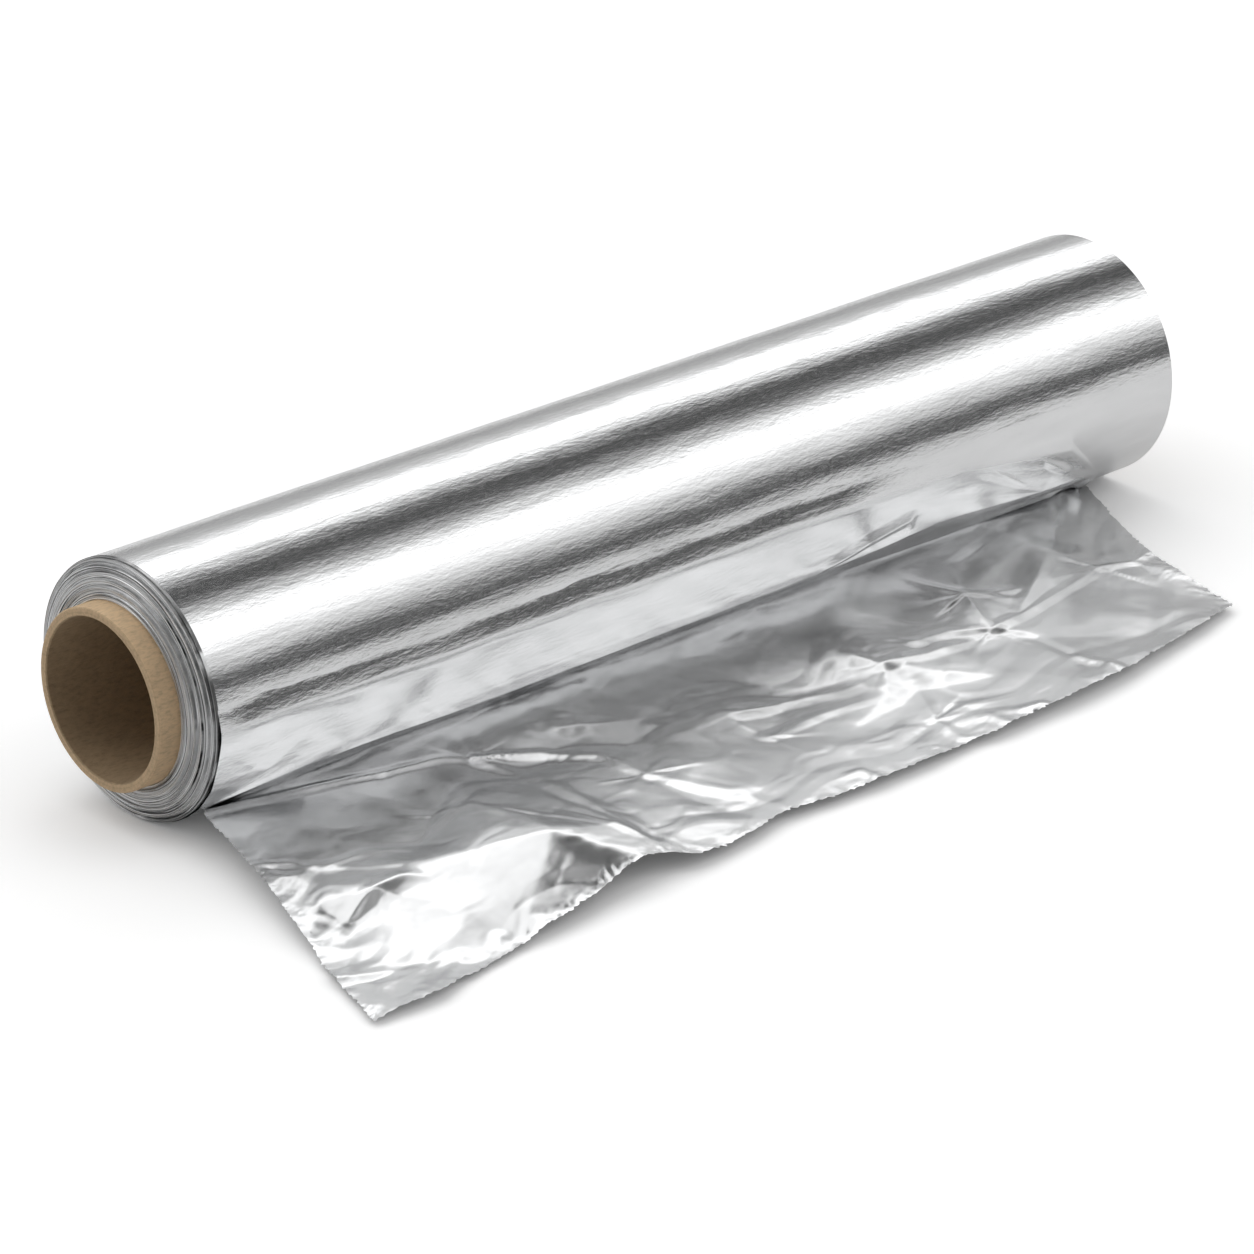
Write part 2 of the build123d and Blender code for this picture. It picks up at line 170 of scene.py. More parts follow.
# Sharp pleats on top of the folds, mm: height (negative for a groove), reach of the slope on either side, and the
# points that it runs through; each is highest at its first point
PLEATS = (
    (1, 2.2, ((-146.4, -19.7), (-135.4, -22.4), (-123.6, -25.3), (-111, -27.3), (-98.8, -29.9), (-89.3, -32.4),
        (-82.6, -35.7))),
    (0.8, 2.2, ((-82.6, -35.7), (-69.1, -43.2), (-60, -53.1), (-56.3, -63.9))),
    (-0.24, 2.2, ((-82.9, -38.7), (-71, -47), (-62.5, -55.8), (-56.8, -62.8))),
    (0.49, 3, ((-82.6, -35.7), (-78.2, -46.8), (-79.9, -66.9), (-79.2, -87.1), (-75.9, -102.8))),
    (-0.28, 2.2, ((-81.7, -47.4), (-83.3, -67.3), (-82.8, -87.9), (-80.4, -101.3))),
    (0.44, 2.6, ((-77.9, -54.7), (-82, -83.8), (-84.2, -99))),
    (0.49, 3, ((-102, -57.2), (-100.4, -71.9), (-103.8, -86.4))),
    (0.39, 2.7, ((-102, -57.2), (-97.8, -69), (-92.3, -80.7), (-85.9, -87.1))),
    (-0.24, 2.2, ((-102, -60.5), (-97.7, -75.4), (-90.2, -86.5))),
    (0.39, 2.7, ((-102, -57.2), (-105.6, -55.4), (-112.7, -56.3))),
    (-0.28, 3.1, ((-102, -57.2), (-98.5, -49.2), (-94.3, -42.3))),
    (0.44, 3.1, ((-143, -58.4), (-132, -57.3), (-120.1, -61))),
    (0.3, 2.2, ((-155.4, -48), (-148.1, -51.6), (-143, -58.4))),
    (0.39, 3, ((-60, -53.1), (-58.6, -59.8), (-57.7, -66), (-53.6, -65.8))),
    (0.35, 2.2, ((-57.7, -66), (-49.3, -62.9), (-45.6, -67.1))),
    (-0.24, 2.2, ((-58.1, -60.3), (-59.7, -69.2), (-54.4, -70.7))),
    (0.35, 3.1, ((-57.7, -66), (-52.5, -77.7), (-48.1, -85.9), (-44.4, -101.2))),
    (-0.24, 3, ((-59.9, -69.4), (-57.6, -83.2), (-53.3, -97.8))),
    (0.39, 3, ((-85.9, -87.1), (-83.8, -92.2), (-78.1, -102))),
    (0.35, 3.1, ((-55.7, -14.4), (-47.2, -18.5), (-33.1, -23.4))),
    (0.39, 3.8, ((-58.8, -38.4), (-47.7, -42.8), (-37.8, -45.4))),
    (0.44, 3.5, ((-19.2, -55.4), (-5, -56.9), (8.7, -62.5), (14, -63))),
    (0.49, 3.1, ((-21.3, -66.8), (-4.9, -66.7), (10.7, -70.2))),
    (0.49, 3, ((21.2, -60.9), (35.1, -62), (50.1, -61.9), (56.8, -60.7))),
    (0.32, 2.6, ((56.7, -60.9), (47.6, -56.1), (31.6, -55.6), (18.3, -55.9))),
    (0.49, 2.6, ((56.7, -60.9), (64.1, -45.3))), (0.49, 2.7, ((64.1, -45.3), (60.2, -36.9), (57.8, -25.9))),
    (-0.14, 2.6, ((61.9, -45.2), (55.7, -39.7), (48.9, -38.2))),
    (0.44, 2.7, ((64.1, -45.3), (73.3, -47.3), (80.9, -49.8))),
    (0.49, 2.6, ((56.7, -60.9), (64, -59.6), (85.3, -55.5), (102.6, -52.1))),
    (-0.31, 2.6, ((56.7, -60.9), (61.8, -70), (60.4, -85.1), (54.4, -99.1))),
    (0.44, 2.7, ((60.4, -85.1), (60.4, -89.1), (62.5, -93.4))),
    (0.44, 2.7, ((11.8, -86.9), (20.1, -72.8), (29.4, -59.5))),
    (0.44, 2.7, ((11.8, -86.9), (9.5, -96.5), (11.3, -100.1))),
    (-0.28, 2.6, ((11.8, -86.9), (3.8, -89.4), (-2.5, -91.6))),
    (0.39, 2.7, ((11.8, -86.9), (26.6, -86.7), (33.9, -89))),
    (-0.14, 2.7, ((21.2, -60.9), (17.3, -67.5), (7.9, -76.4))),
    (0.55, 2.6, ((102.6, -52.1), (111.7, -54.4), (120.1, -52.2))),
    (-0.31, 2.6, ((102.6, -52.1), (109.7, -42.7), (122.6, -31.8))),
    (0.39, 2.6, ((111.7, -54.4), (119.4, -42.2), (126.7, -35))),
    (0.35, 3.1, ((69.8, -57.3), (98, -40), (119.1, -23.1))),
    (0.35, 3.5, ((75.2, -32.1), (94.2, -26.9), (115.5, -19.8))),
    (0.49, 2.7, ((33.9, -98.5), (28.7, -97.3), (25.4, -94.2))),
    (0.44, 2.6, ((22, -100.6), (21.8, -94.5), (18.2, -93.2))),
    (0.44, 2.2, ((62.3, -98.3), (62.5, -93.4), (54.4, -99.1))),
    (0.39, 2.2, ((-20, -101.4), (-20.4, -95.5), (-27.9, -95.2))),
    (0.49, 2.6, ((-143.9, -73.7), (-153.8, -76.5), (-166.8, -83.3))),
    (0.44, 2.7, ((-143.9, -73.7), (-135.7, -73.2), (-130.7, -77.2))), (0.39, 2.6, ((-155.4, -69.3), (-149, -65))),
    (-0.35, 3, ((-145.9, -60.5), (-139.9, -66.7), (-133.8, -71.6))),
    (0.44, 2.7, ((-132.9, -102.2), (-137.4, -106.4), (-138.3, -108.4))),
    (0.39, 2.7, ((-123.2, -104), (-123.4, -105.8), (-118.8, -105.3))),
    (0.39, 2.7, ((-143.4, -102.5), (-149.6, -107.1), (-150.2, -109.9))),
    (0.44, 2.7, ((-170.4, -93.1), (-160.1, -96.9), (-150.4, -103.3))),
    (0.35, 2.7, ((-163.4, -100.9), (-169.9, -106.9), (-174.8, -110.4))),
)

# Wrinkles of the loose turn: start and end as shares of the foil's width from the near end, each with an angle round
# the roll, 0 at its front and 90 on top, then the height at each end and the reach of the slopes as shares of the
# roll's radius
WRINKLES = (
    ((0.005, -44), (0.09, -35), 0.012, 0.022, 0.16), ((0.09, -35), (0.29, -37), 0.022, 0.024, 0.16),
    ((0.29, -37), (0.55, -35.6), 0.024, 0.022, 0.15), ((0.55, -35.6), (0.69, -32), 0.022, 0.02, 0.16),
    ((0.69, -32), (0.745, -30), 0.02, 0.018, 0.16), ((0.005, -44), (0.08, -18), 0.012, 0.004, 0.12),
    ((0.01, -52), (0.3, -50), 0.012, 0.016, 0.12), ((0.3, -50), (0.9, -52), 0.016, 0.022, 0.14),
    ((0.63, -4), (0.76, -5), 0.002, 0.01, 0.1), ((0.76, -5), (0.884, -14), 0.01, 0.024, 0.16),
    ((0.78, -13), (0.868, -36), 0.01, 0.028, 0.2), ((0.868, -36), (0.936, -38), 0.028, 0.026, 0.2),
    ((0.745, -30), (0.868, -36), 0.018, 0.028, 0.16), ((0.884, -14), (0.936, -38), 0.024, 0.026, 0.14),
    ((0.936, -38), (0.95, -66), 0.026, 0.024, 0.14), ((0.56, -42), (0.66, -25), 0.008, 0.03, 0.1),
    ((0.66, -25), (0.705, -21), 0.03, 0.022, 0.1), ((0.705, -21), (0.715, -32), 0.022, 0.006, 0.08),
    ((0.79, -9), (0.855, -32), 0.01, 0.024, 0.07), ((0.84, -9), (0.89, -28), 0.012, 0.026, 0.07),
)

# How far the loose turn stands off the turns below it, mm, by the angle: a flat panel, and a low step above it
LOOSE_PANEL = (
    (-50, 0), (-42, 0.3), (-36, 0.55), (-30, 0.8), (-27, 0.72), (-24, 0.52), (-21, 0.4), (-18, 0.35), (-15, 0.37),
    (-12, 0.49), (-9, 0.68), (-6, 0.92), (-3, 1.18), (-1, 1.15), (0, 1.06), (1, 0.92), (2, 0.77), (3, 0.63), (4, 0.5),
    (5, 0.37), (6, 0.24), (7, 0.12), (8, 0.03), (9, 0),
)

# Loose turn: angle of its upper edge, and how far round it reaches from there, degrees
LOOSE_TOP, LOOSE_SPAN = 12, 88

# Its right edge: share of the foil's width from the near end, and the angle
LOOSE_EDGE = ((0.884, -10), (0.936, -38), (0.95, -64))

# Light on the studio's canopy by the angle round the roll: 0 level on the viewer's side, 90 overhead, 180 behind
CANOPY_LIGHT = (
    (-2, 0.07), (13, 0.08), (16, 0.14), (21, 0.48), (29, 0.75), (37, 0.95), (43, 1.35), (62, 1.35), (66, 0.88),
    (69, 0.62), (78, 0.34), (83, 0.08), (101, 0.07), (105, 0.14), (109, 0.6), (117, 1), (121, 1.7), (138, 1.7),
    (142, 0.8), (153, 0.54), (165, 0.4), (182, 0.36),
)

# The glow's ramp covers a span of angles that starts a little below level
CANOPY_START, CANOPY_SPAN = 4, 190
CANOPY_RADIUS, SOFT_BOX_RADIUS = 2.2, 2.15

# Columns and rows of the finished pieces' grids
TURNS_GRID = (192, 380)
LOOSE_GRID = (430, 170)
TAIL_GRID = (441, 215)

# Near end of the wound foil along the axis, and the tail's reach, mm, that the table of its front edge is for
NEAR_END = -0.15
TABLE_REACH = 111.5

# Crumples of the tail's panels, round the stars and along its edges: height, size of the triangles, turn and seed
PANEL_CRUMPLES = ((0.00060, 0.017, 0.5, 31), (0.00016, 0.0075, 1.1, 41))
STAR_RISE, STAR_CRUMPLE = 0.00006, (0.0036, 0.3, 61)
BORDER_RISE, BORDER_CRUMPLE = 0.00013, (0.0034, 0.9, 71)
LATTICE_SIDE = 64

# Hollows of the tail's panels: depth and length
HOLLOW_DEPTH, HOLLOW_LENGTH = 0.00016, 0.034

# Share of each fold that stays sharp, and passes that ease the rest
SHARP_SHARE, EASING_PASSES = 0.35, 60

# Stars: random values round each one, slope of the zigzag, least and greatest reach, and reach of the crumples in mm
STAR_SPOKES, STAR_SLOPE, STAR_REACH, CRUMPLE_REACH = 13, 0.08, (0.014, 0.022), 6

# Share of a pleat's height that is lost by its last point, and how hollow the slopes of pleats and wrinkles are
PLEAT_SINK, PLEAT_HOLLOW, WRINKLE_HOLLOW = 0.85, 1.1, 1.3

# Camera fitted to the photo: place, lens in mm, and degrees turned about the upright and raised above level
CAMERA_PLACE, CAMERA_LENS = (-0.87861, -0.95778, 0.54393), 173.45
CAMERA_TURN, CAMERA_RISE = -42.423, 23.815


class TurnSizes(bpy.types.PropertyGroup):
    """Sizes of the wound turns."""

    roll_radius: FloatProperty(
        name="Roll radius", description="Outer radius of the wound turns", default=ROLL_RADIUS, unit="LENGTH"
    )
    core_radius: FloatProperty(
        name="Core radius", description="Outer radius of the core under the turns", default=CORE_RADIUS, unit="LENGTH"
    )
    foil_width: FloatProperty(name="Foil width", description="Width of the wound foil", default=0.3, unit="LENGTH")
    turns_shift: FloatProperty(
        name="Turns shift", description="How far the inner turns have slid out", default=0.0026, unit="LENGTH"
    )
    rings: IntProperty(name="Film edges", description="Rings that show at each end", default=46, min=13)


class TailSizes(bpy.types.PropertyGroup):
    """Sizes of the drawn-out tail."""

    width: FloatProperty(name="Width", description="Width where it leaves the roll", default=0.283, unit="LENGTH")
    front_width: FloatProperty(name="Front width", description="Width at the torn edge", default=0.2865, unit="LENGTH")
    reach: FloatProperty(name="Reach", description="Length drawn out", default=0.1115, unit="LENGTH")
    skew: FloatProperty(
        name="Skew", description="How far it is drawn towards the near end", default=0.0345, unit="LENGTH"
    )
    inset: FloatProperty(
        name="Inset", description="From the turns' near end to its left edge", default=0.0083, unit="LENGTH"
    )
    lift: FloatProperty(
        name="Lift", description="Height of the flat foil above the ground", default=0.0002, unit="LENGTH"
    )


class Finish(bpy.types.PropertyGroup):
    """Colours and gloss."""

    foil_colour: FloatVectorProperty(
        name="Foil", description="Colour of the bright foil", subtype="COLOR", default=(0.91, 0.915, 0.92), size=3
    )
    foil_roughness: FloatProperty(
        name="Foil roughness", description="How dull the bright foil is", default=0.17, min=0, max=1
    )
    dull_colour: FloatVectorProperty(
        name="Dull side", description="Colour of the foil's dull side", subtype="COLOR", size=3,
        default=(0.75, 0.755, 0.76),
    )
    dull_roughness: FloatProperty(
        name="Dull roughness", description="How dull the foil's dull side is", default=0.235, min=0, max=1
    )
    card_colour: FloatVectorProperty(
        name="Card", description="Colour of the winding board", subtype="COLOR", default=(0.60, 0.433, 0.264), size=3
    )


# Sheets worked out as grids


def grid_mesh(name, points, uvs, wrap=False, flip=False):
    """Mesh over a grid of points: one face for each cell between four neighbours. With wrap the last column joins the
    first, and uvs has one column more than points, so that the pattern closes at the seam."""
    rows, columns = points.shape[:2]
    index = np.arange(rows * columns).reshape(rows, columns)
    if wrap:
        index = np.hstack([index, index[:, :1]])
    uv_index = np.arange(uvs.shape[0] * uvs.shape[1]).reshape(uvs.shape[:2])

    def cells(a):
        around = [a[:-1, :-1], a[:-1, 1:], a[1:, 1:], a[1:, :-1]]
        return np.stack(around[::-1] if flip else around, -1).reshape(-1)

    faces = cells(index)
    mesh = bpy.data.meshes.new(name)
    mesh.vertices.add(rows * columns)
    mesh.vertices.foreach_set("co", points.astype(np.float32).ravel())
    mesh.loops.add(len(faces))
    mesh.loops.foreach_set("vertex_index", faces.astype(np.int32))
    mesh.polygons.add(len(faces) // 4)
    mesh.polygons.foreach_set("loop_start", np.arange(0, len(faces), 4, dtype=np.int32))
    mesh.update(calc_edges=True)
    layer = mesh.uv_layers.new(name="flat_foil")
    layer.data.foreach_set("uv", uvs.reshape(-1, 2)[cells(uv_index)].astype(np.float32).ravel())
    mesh.shade_smooth()
    mesh.validate()
    return mesh


def waves(x, y, x_length, y_length, count, seed):
    """Sum of waves of random direction and phase, about x_length and y_length long, scaled to a spread of 1."""
    pick = np.random.default_rng(seed)
    total = np.zeros(np.broadcast(x, y).shape)
    for _ in range(count):
        turn = pick.uniform(0, 2 * pi)
        stretch = pick.uniform(0.6, 1.6)
        across = cos(turn) * stretch / x_length
        along = sin(turn) * stretch / y_length
        total = total + np.sin(2 * pi * (x * across + y * along) + pick.uniform(0, 2 * pi))
    return total / np.sqrt(count / 2)


def facets(x, y, size, turn, seed):
    """Height of a crumple between -1 and 1: the plane is cut into triangles of about that size on a bent and turned
    lattice, each corner gets a random height, and the sheet is flat inside each triangle."""
    pick = np.random.default_rng(seed)
    c, s = cos(turn), sin(turn)
    bend, length = 0.55 * size, 2.6 * size
    bent_x = x + bend * waves(x, y, length, length, 5, seed + 1)
    bent_y = y + bend * waves(x, y, length, length, 5, seed + 2)
    u, v = (bent_x * c + bent_y * s) / size, (bent_y * c - bent_x * s) / size
    u = u + v * 0.5
    heights = pick.uniform(-1, 1, (LATTICE_SIDE, LATTICE_SIDE))
    i, j = np.floor(u).astype(int), np.floor(v).astype(int)
    p, q = u - i, v - j

    def corner(a, b):
        return heights[(i + a) % LATTICE_SIDE, (j + b) % LATTICE_SIDE]

    lower = corner(0, 0) + p * (corner(1, 0) - corner(0, 0)) + q * (corner(0, 1) - corner(0, 0))
    upper = corner(1, 1) + (1 - p) * (corner(0, 1) - corner(1, 1)) + (1 - q) * (corner(1, 0) - corner(1, 1))
    return np.where(p + q < 1, lower, upper)


def tent(x, y, first, last, rises, reach, power):
    """Height of a crease: its rise along the crest from first to last, and from there down to nothing at its reach on
    either side, straight for a power of 1 and hollow above it."""
    run = np.subtract(last, first)
    length = np.hypot(*run)
    along = ((x - first[0]) * run[0] + (y - first[1]) * run[1]) / length
    beside = (run[0] * (y - first[1]) - run[1] * (x - first[0])) / length
    beyond = np.maximum(np.maximum(-along, along - length), 0)
    rise = rises[0] + (rises[1] - rises[0]) * np.clip(along / length, 0, 1)
    return rise * np.maximum(1 - np.hypot(beside, beyond) / reach, 0) ** power


def tail_plan(sizes, across, out):
    """Place of the tail's points seen from above, from across 0 at its left edge to 1 at its right one, and out 0
    below the roll's axis to 1 at the torn edge."""
    reach = sizes.reach / TABLE_REACH * np.interp(across, *np.transpose(FRONT_EDGE))
    left = NEAR_END + sizes.inset - sizes.skew * out
    right = left + sizes.width + (sizes.front_width - sizes.width) * out
    left = left + 0.001 * np.interp(out, *np.transpose(LEFT_EDGE))
    right = right + 0.001 * np.interp(out, *np.transpose(RIGHT_EDGE))
    return left + (right - left) * across, -reach * out


def fold_heights(x, y):
    """Height of the folded sheet over each place: the fold points are joined into triangles that have the folds among
    their edges, and the sheet is flat inside each triangle, so its height there is the mean of the corners' heights,
    weighted by how near each corner is."""
    names = list(FOLD_POINTS)
    number = {name: place for place, name in enumerate(names)}
    flat = [Vector(FOLD_POINTS[name][:2]) / 1000 for name in names]
    chains = [chain.split() for chain in FOLDS]
    edges = [(number[a], number[b]) for chain in chains for a, b in zip(chain, chain[1:])]
    corners, _, triangles, sources, _, _ = delaunay_2d_cdt(flat, edges, [], 0, 1e-7)
    if any(len(source) != 1 for source in sources):
        raise ValueError("two folds of the tail cross away from a fold point")
    rise = [FOLD_POINTS[names[source[0]]][2] / 1000 for source in sources]
    height = np.zeros_like(x)
    for a, b, c in triangles:
        (ax, ay), (bx, by), (cx, cy) = corners[a], corners[b], corners[c]
        area = (bx - ax) * (cy - ay) - (cx - ax) * (by - ay)
        near_b = ((x - ax) * (cy - ay) - (cx - ax) * (y - ay)) / area
        near_c = ((bx - ax) * (y - ay) - (x - ax) * (by - ay)) / area
        inside = (near_b > -1e-6) & (near_c > -1e-6) & (near_b + near_c < 1 + 1e-6)
        mean = rise[a] + near_b * (rise[b] - rise[a]) + near_c * (rise[c] - rise[a])
        height = np.where(inside, mean, height)
    return height


def pleat_heights(x, y):
    """Height that the sharp pleats add: each is a tent along its line, which sinks towards its last point. Where
    pleats overlap the higher one shows, and so it is with grooves, which start from nothing at their first point."""
    raised, sunk = np.zeros_like(x), np.zeros_like(x)
    for rise, reach, line in PLEATS:
        steps = [np.hypot(b[0] - a[0], b[1] - a[1]) for a, b in zip(line, line[1:])]
        run = np.concatenate([[0], np.cumsum(steps)]) / sum(steps)
        crest = abs(rise) * (1 - PLEAT_SINK * run ** 2) / 1000
        if rise < 0:
            crest[0] = 0
        one = np.zeros_like(x)
        for a, b, first, last in zip(line, line[1:], crest, crest[1:]):
            places = [(p[0] / 1000, p[1] / 1000) for p in (a, b)]
            one = np.maximum(one, tent(x, y, *places, (first, last), reach / 1000, PLEAT_HOLLOW))
        if rise > 0:
            raised = np.maximum(raised, one)
        else:
            sunk = np.maximum(sunk, one)
    return raised - sunk


def star_heights(x, y):
    """Height that the stars add, where folds meet in a point. Round a star the sheet zigzags between random values at
    random angles, as a fan does. The height grows with the distance from the star and fades out at its reach."""
    height = np.zeros_like(x)
    for place, name in enumerate(STARS):
        pick = np.random.default_rng(90 + place)
        beside, ahead = x - FOLD_POINTS[name][0] / 1000, y - FOLD_POINTS[name][1] / 1000
        away = np.hypot(beside, ahead)
        angles = np.sort(pick.uniform(-pi, pi, STAR_SPOKES))
        values = pick.uniform(-1, 1, STAR_SPOKES)
        turns = np.concatenate([angles - 2 * pi, angles, angles + 2 * pi])
        fan = np.interp(np.arctan2(ahead, beside), turns, np.tile(values, 3))
        height += STAR_SLOPE * away * np.clip(1 - away / pick.uniform(*STAR_REACH), 0, 1) ** 2 * fan
    return height


def softened(height, passes):
    """The grid of heights with each one averaged with its neighbours, many times over."""
    for _ in range(passes):
        wide = np.pad(height, 1, mode="edge")
        height = (wide[1:-1, :-2] + 2 * height + wide[1:-1, 2:]) / 4
        wide = np.pad(height, 1, mode="edge")
        height = (wide[:-2, 1:-1] + 2 * height + wide[2:, 1:-1]) / 4
    return height


# Finishes


def new_material(name):
    """Material without nodes, and its node tree."""
    material = bpy.data.materials.new(name)
    material.use_nodes = True
    material.node_tree.nodes.clear()
    return material, material.node_tree


def add_node(tree, kind, inputs=(), **settings):
    """Shader node of a kind with its settings. Each input, by name or number, gets a value or is linked to an output,
    and a node there stands for its first output in use."""
    node = tree.nodes.new("ShaderNode" + kind)
    for name, value in settings.items():
        setattr(node, name, value)
    for name, value in dict(inputs).items():
        if isinstance(value, bpy.types.Node):
            value = next(output for output in value.outputs if output.enabled)
        if isinstance(value, bpy.types.NodeSocket):
            tree.links.new(value, node.inputs[name])
        else:
            node.inputs[name].default_value = value
    return node


def add_math(tree, operation, *values, **settings):
    """Math node with its values in order."""
    return add_node(tree, "Math", dict(enumerate(values)), operation=operation, **settings)


def ramp(tree, source, stops):
    """Colour ramp through (position, colour) stops."""
    node = add_node(tree, "ValToRGB", {"Fac": source})
    elements = node.color_ramp.elements
    while len(elements) < len(stops):
        elements.new(0.5)
    for element, (position, colour) in zip(elements, stops):
        element.position = position
        element.color = (*colour, 1)
    return node


def grey(level):
    return (level, level, level)


def foil_material(name, colour, roughness, grain, grain_depth, dents, dents_depth, spread):
    """Foil: bare metal with a fine grain and shallow dents, both by the flat foil's own map in decimetres. The grain
    also varies the roughness by the spread."""
    material, tree = new_material(name)
    flat = add_node(tree, "UVMap", uv_map="flat_foil")
    fine, broad = (
        add_node(tree, "TexNoise", {
            "Vector": add_node(tree, "Mapping", {"Vector": flat, "Scale": (*scale, 1)}),
            "Scale": 1.0, "Detail": detail, "Roughness": 0.62,
        })
        for scale, detail in ((grain, 4.0), (dents, 2.0))
    )
    tint = ramp(tree, broad, ((0.25, [c * 0.90 for c in colour]), (0.75, colour)))
    gloss = ramp(tree, fine, ((0.3, grey(roughness - spread)), (0.7, grey(roughness + spread))))
    first = add_node(tree, "Bump", {"Strength": 1.0, "Distance": dents_depth, "Height": broad})
    second = add_node(tree, "Bump", {"Strength": 1.0, "Distance": grain_depth, "Height": fine, "Normal": first})
    inputs = {"Metallic": 1.0, "Base Color": tint, "Roughness": gloss, "Normal": second}
    add_node(tree, "OutputMaterial", {"Surface": add_node(tree, "BsdfPrincipled", inputs)})
    return material


def edge_material(colour):
    """Film edges at the ends of the turns: dull metal in fine rings, light and dark by distance from the axis. The
    dark rings are painted shade between the film edges.
    """
    material, tree = new_material("foil_edges")
    place = add_node(tree, "TexCoord").outputs["Object"]
    split = add_node(tree, "SeparateXYZ", {"Vector": place}).outputs
    flat = add_node(tree, "CombineXYZ", {"Y": split["Y"], "Z": split["Z"]})
    radius = add_node(tree, "VectorMath", {0: flat}, operation="LENGTH")
    wobble = add_node(tree, "TexNoise", {"Vector": place, "Scale": 60.0, "Detail": 2.0})
    drift = add_math(tree, "MULTIPLY_ADD", wobble, 0.0006, radius)
    inputs = {"W": drift, "Scale": 3200.0, "Detail": 3.0, "Roughness": 0.7}
    rings = add_node(tree, "TexNoise", inputs, noise_dimensions="1D")
    # Painted shade: the near-black and grey stops darken the rings between the film edges, and the light stop is the
    # metal's own colour
    stops = ((0.34, [c * 0.07 for c in colour]), (0.45, [c * 0.55 for c in colour]), (0.59, colour))
    bump = add_node(tree, "Bump", {"Strength": 0.7, "Distance": 0.0002, "Height": rings})
    inputs = {"Metallic": 1.0, "Roughness": 0.42, "Base Color": ramp(tree, rings, stops), "Normal": bump}
    add_node(tree, "OutputMaterial", {"Surface": add_node(tree, "BsdfPrincipled", inputs)})
    return material


def card_material(colour):
    """Grey-brown winding board: fibres and small specks, and thin darker lines between its plies on the rims. By
    distance from the axis it is also darker in the bore, painted shade inside the tube, and lighter on the outer face,
    painted light.
    """
    material, tree = new_material("winding_board")
    place = add_node(tree, "TexCoord").outputs["Object"]
    inputs = {"Vector": place, "Scale": (500, 1400, 1400), "Rotation": (0, 0, radians(25))}
    stretch = add_node(tree, "Mapping", inputs)
    fibres = add_node(tree, "TexNoise", {"Vector": stretch, "Scale": 1.0, "Detail": 6.0, "Roughness": 0.65})
    cloud = add_node(tree, "TexNoise", {"Vector": place, "Scale": 90.0, "Detail": 3.0})
    stops = ((0.30, [c * 0.74 for c in colour]), (0.52, colour), (0.75, [c * 1.13 for c in colour]))
    board = ramp(tree, fibres, stops)
    shade = ramp(tree, cloud, ((0.30, grey(0.88)), (0.70, grey(1.0))))
    axis = add_node(tree, "VectorMath", {0: place, 1: (0, 1, 1)}, operation="MULTIPLY")
    radius = add_node(tree, "VectorMath", {0: axis}, operation="LENGTH")
    span = add_node(tree, "MapRange", {"Value": radius, "From Min": 0.0185, "From Max": 0.0215})
    # Painted light and shade by distance from the axis: darker towards the bore for the shade inside the tube, lighter
    # on the outer face for light on its top, and a thin darker ply line on the rim between
    plies_and_painted_light = ramp(tree, span, (
        (0.0, grey(0.70)), (0.22, grey(0.74)), (0.26, grey(1.05)), (0.44, grey(1.0)), (0.47, grey(0.80)),
        (0.50, grey(1.0)), (0.82, grey(1.1)), (0.86, grey(1.35)),
    ))
    for layer in (shade, plies_and_painted_light):
        inputs = {"Factor": 1.0, "A": board, "B": layer}
        board = add_node(tree, "Mix", inputs, data_type="RGBA", blend_type="MULTIPLY")
    bump = add_node(tree, "Bump", {"Strength": 0.6, "Distance": 0.0002, "Height": fibres})
    inputs = {"Roughness": 0.85, "Base Color": board, "Normal": bump}
    add_node(tree, "OutputMaterial", {"Surface": add_node(tree, "BsdfPrincipled", inputs)})
    return material


def add_piece(name, mesh, *materials):
    """Object for a mesh, riding on the roll."""
    piece = bpy.data.objects.new(name, mesh)
    bpy.context.scene.collection.objects.link(piece)
    for material in materials:
        mesh.materials.append(material)
    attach(piece, "root")
    return piece


class FOIL_OT_core(bpy.types.Operator):
    """Finish the cardboard core as winding board"""

    bl_idname = "foil_roll.core"
    bl_label = "Cardboard core"

    def execute(self, context):
        finish = context.scene.foil_finish
        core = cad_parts["core_tube"]
        core.data.materials.clear()
        core.data.materials.append(card_material(tuple(finish.card_colour)))
        return {"FINISHED"}


class FOIL_OT_turns(bpy.types.Operator):
    """Build the wound turns with the film edges at both ends"""

    bl_idname = "foil_roll.turns"
    bl_label = "Wound turns"

    def execute(self, context):
        finish = context.scene.foil_finish
        colour = tuple(finish.foil_colour)
        bright = foil_material(
            "bright_foil", colour, finish.foil_roughness, (44, 120), 0.00006, (3.0, 14.0), 0.00018, 0.05
        )
        turns = add_piece("wound_turns", turned_mesh(context.scene.foil_turns), bright, edge_material(colour))
        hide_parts("foil")
        return {"FINISHED"}


